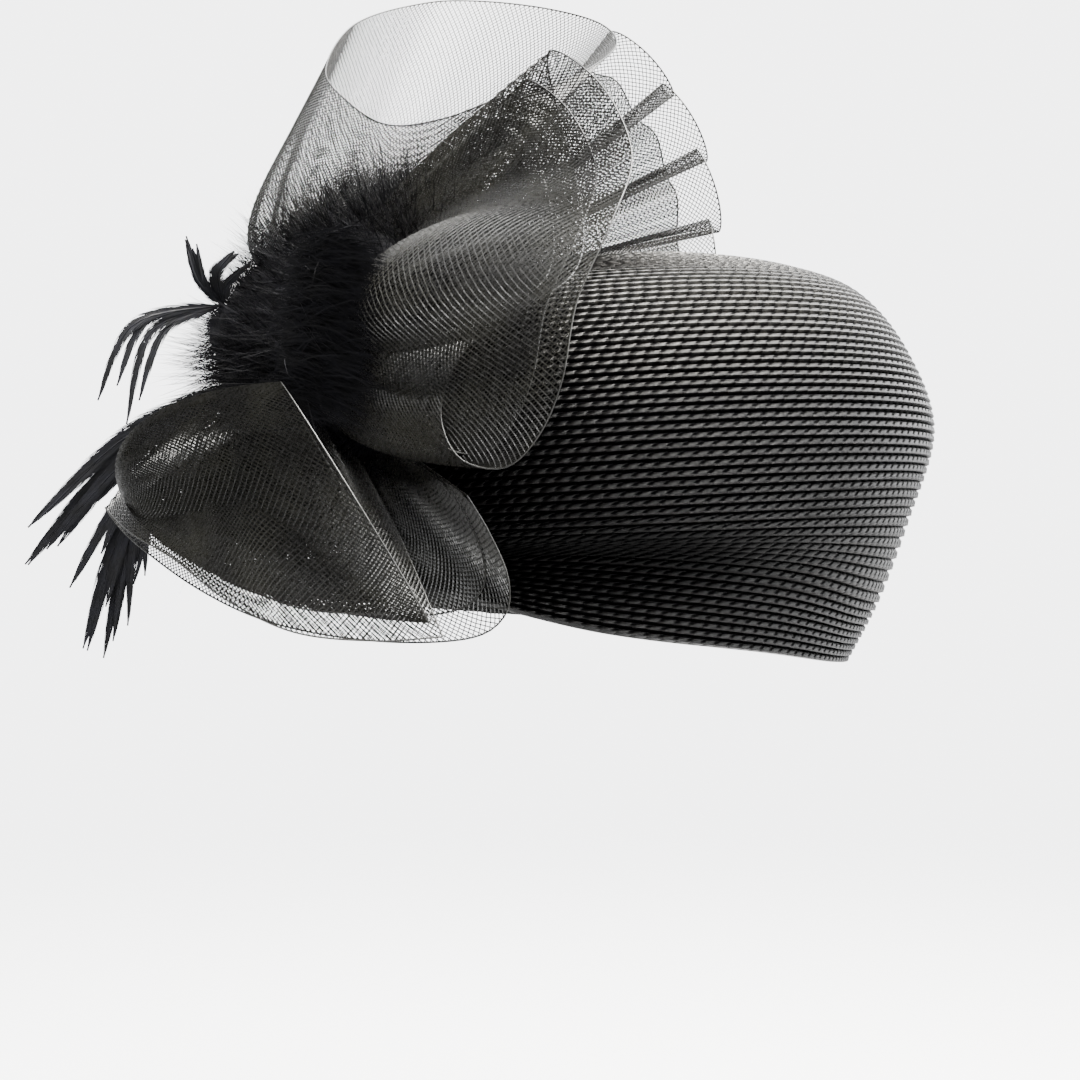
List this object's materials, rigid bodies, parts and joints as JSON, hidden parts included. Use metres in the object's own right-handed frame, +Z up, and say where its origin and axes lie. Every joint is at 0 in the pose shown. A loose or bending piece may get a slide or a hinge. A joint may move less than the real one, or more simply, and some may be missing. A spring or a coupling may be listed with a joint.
{
  "type": "cloche hat",
  "caption": "Deep black straw-braid cloche with an upswept side brim, trimmed on one side with gathered loops of stiff open net, a pleated net fan and feather sprays.",
  "frame": {"origin": "under the straw at the tip of the crown, over the middle of the head opening, where the hat sits on a head", "axes": "+Z up, +X to the right of the front view and away from the trim, +Y to the back of that view"},
  "size_m": [0.2942, 0.2286, 0.2211],
  "materials": {
    "straw_braid": "glossy narrow straw braid sewn in rows, near black",
    "net": "stiff open net of thin shiny thread, black",
    "feather": "soft matte black feather"
  },
  "bodies": {
    "root": {"hat_body": "straw_braid", "feather_pad": "feather", "back_loop": "net", "back_fan": "net", "front_loop": "net", "lower_loop": "net", "spray_upper": "feather", "spray_lower": "feather"}
  },
  "joints": []
}
